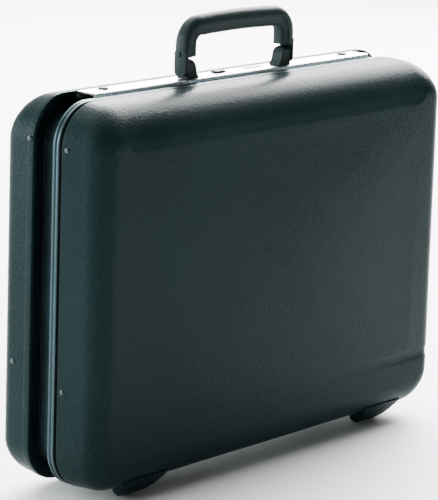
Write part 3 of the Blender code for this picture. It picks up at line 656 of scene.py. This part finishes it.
def make_dial(number):
    """Number wheel: a knurled rim on both sides of the band that carries the ten digits."""
    low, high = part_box(f"lock_dial_{number}")
    centre = Vector(((low[0] + high[0]) / 2, (low[1] + high[1]) / 2, (low[2] + high[2]) / 2))
    half = (high[0] - low[0]) / 2
    outer = (high[2] - low[2]) / 2
    rim = outer / MM
    left_half = [
        (-half, WHEEL_BORE), (-half, rim - 0.7), (-half + 0.5 * MM, rim), (-half + 1.0 * MM, rim),
        (-half + 1.2 * MM, rim - 0.25),
    ]
    profile = left_half + [(-place, radius) for place, radius in reversed(left_half)]
    rings = []
    for place, radius in profile:
        ring = []
        for k in range(WHEEL_TEETH * 2):
            knurl = KNURL if k % 2 and radius > rim - 0.1 else 0.0
            angle = math.pi * k / WHEEL_TEETH
            reach = (radius - knurl) * MM
            ring.append(centre + Vector((place, reach * math.cos(angle), reach * math.sin(angle))))
        rings.append(ring)
    new_piece(
        f"number_wheel_{number}", skin(rings, cyclic=True), DIAL, f"dial_{number}",
        (f"lock_dial_{number}",), 25,
    )
    ink = bmesh.new()
    for digit, lit in enumerate(DIGITS):
        turn = Matrix.Rotation(-2 * math.pi * digit / 10, 4, "X")
        for name in lit.split():
            x, y, flat = SEGMENTS[name]
            size = (0.95, 0.22) if flat else (0.22, 1.1)
            spot = Vector((x * 0.42 * MM, y * 0.95 * MM, outer - 0.24 * MM))
            made = bmesh.ops.create_cube(ink, size=1.0)["verts"]
            for vert in made:
                x, y, z = vert.co * MM
                vert.co = centre + turn @ (spot + Vector((x * size[0], y * size[1], z * 0.1)))
    new_piece(f"numbers_{number}", ink, INK, f"dial_{number}", (), 30)


for dial_number in (1, 2, 3):
    make_dial(dial_number)


# ---------------------------------------------------------------- document pocket


def make_pocket():
    """Sewn pocket of the lid: a slightly full panel with a bound edge and a slack mouth."""
    low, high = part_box("document_pocket")
    centre_x = (low[0] + high[0]) / 2
    centre_z = (low[2] + high[2]) / 2
    half_x = (high[0] - low[0]) / 2
    half_z = (high[2] - low[2]) / 2
    body = bmesh.new()
    columns, rows = 64, 40
    grid = []
    for j in range(rows + 1):
        line = []
        for i in range(columns + 1):
            u = 2 * i / columns - 1
            w = 2 * j / rows - 1
            squeeze_x = math.sqrt(1 - 0.06 * w ** 8)
            squeeze_z = math.sqrt(1 - 0.10 * u ** 8)
            edge = min(1 - abs(u), (1 - abs(w)) * half_z / half_x) * half_x
            full = min(1.0, edge / (14 * MM))
            binding = 1.0 if edge < 4 * MM else 0.0
            puff = math.sin(full * math.pi / 2)
            ripple = 0.12 * math.sin(9 * u + 2.4 * w) * math.sin(5 * w) * full
            depth = (0.5 * puff + 0.22 * binding + ripple + 0.1) * (high[1] - low[1])
            x = centre_x + u * half_x * squeeze_x
            z = centre_z + w * half_z * squeeze_z
            line.append(body.verts.new((x, high[1] - depth, z)))
        grid.append(line)
    for j in range(rows):
        for i in range(columns):
            body.faces.new((grid[j][i], grid[j][i + 1], grid[j + 1][i + 1], grid[j + 1][i]))
    border = [e for e in body.edges if e.is_boundary]
    made = bmesh.ops.extrude_edge_only(body, edges=border)["geom"]
    for vert in [g for g in made if isinstance(g, bmesh.types.BMVert)]:
        vert.co.y = high[1]
    bmesh.ops.holes_fill(body, edges=[e for e in body.edges if e.is_boundary], sides=0)
    pocket = new_piece(
        "document_pocket_panel", body, POCKET, "lid", ("document_pocket",), 60
    )


make_pocket()


# ---------------------------------------------------------------- floor, light and camera


def area_light(name, place, target, size, power, tint=(1, 1, 1)):
    """Large soft lamp at place, turned to face target."""
    data = bpy.data.lights.new(name, "AREA")
    data.shape = "RECTANGLE"
    data.size = size[0]
    data.size_y = size[1]
    data.energy = power
    data.color = tint
    lamp = bpy.data.objects.new(name, data)
    lamp.location = place
    aim = Vector(target) - Vector(place)
    lamp.rotation_euler = aim.to_track_quat("-Z", "Y").to_euler()
    bpy.context.scene.collection.objects.link(lamp)


def studio_world():
    """Soft white surroundings, bright behind and above the case and darker in front of it."""
    world = bpy.data.worlds.new("studio")
    bpy.context.scene.world = world
    world.use_nodes = True
    tree = world.node_tree
    coords = tree.nodes.new("ShaderNodeTexCoord")
    split = tree.nodes.new("ShaderNodeSeparateXYZ")
    tree.links.new(coords.outputs["Generated"], split.inputs[0])
    turn = tree.nodes.new("ShaderNodeMapRange")
    turn.inputs["From Min"].default_value = -0.45
    turn.inputs["From Max"].default_value = 0.25
    turn.inputs["To Min"].default_value = 0.06
    turn.inputs["To Max"].default_value = 2.7
    turn.interpolation_type = "SMOOTHSTEP"
    tree.links.new(split.outputs["Y"], turn.inputs["Value"])
    background = tree.nodes["Background"]
    tree.links.new(turn.outputs[0], background.inputs["Strength"])
    background.inputs["Color"].default_value = (1.0, 1.0, 1.0, 1.0)


def make_floor():
    """Plain pale floor just under the feet."""
    body = bmesh.new()
    bmesh.ops.create_grid(body, x_segments=2, y_segments=2, size=6.0)
    mesh = bpy.data.meshes.new("floor")
    body.to_mesh(mesh)
    body.free()
    n = Nodes("floor_paint")
    n.set(Base_Color=n.ramp(n.noise(3.0), [(0.3, (0.93, 0.93, 0.93)), (0.7, (0.95, 0.95, 0.95))]))
    n.set(Roughness=0.6)
    mesh.materials.append(n.material)
    floor = bpy.data.objects.new("floor", mesh)
    floor.location = (0, 0, -0.0005)
    bpy.context.scene.collection.objects.link(floor)


def make_camera():
    """Long-lens three-quarter view from the front left, looking slightly down."""
    data = bpy.data.cameras.new("camera")
    data.sensor_width = 36.0
    data.lens = 196.94
    data.shift_y = -0.1
    camera = bpy.data.objects.new("camera", data)
    camera.location = (-1.7799, -1.4689, 0.6795)
    camera.rotation_euler = CAMERA_TURN.to_euler()
    bpy.context.scene.collection.objects.link(camera)
    bpy.context.scene.camera = camera


def rotation_zxz(first, middle, last):
    """Rotation about the fixed axes z, x, z in turn."""
    turn = Matrix.Rotation(math.radians(last), 3, "Z")
    turn = turn @ Matrix.Rotation(math.radians(middle), 3, "X")
    return turn @ Matrix.Rotation(math.radians(first), 3, "Z")


TO_CAMERA = rotation_zxz(50.09, 101.24, 1.83)
CAMERA_TURN = Matrix((TO_CAMERA[0], -TO_CAMERA[1], -TO_CAMERA[2])).transposed()

studio_world()
make_floor()
make_camera()
area_light("top", (0.3, 0.8, 2.0), (0, 0.1, 0.2), (2.2, 1.4), 60)
area_light("left", (-1.4, 1.9, 0.55), (-0.2, 0, 0.15), (1.3, 1.0), 85, (0.84, 0.97, 1.0))
area_light("back", (2.5, 1.25, 2.05), (-0.2, 0, 0.25), (2.8, 2.2), 780)
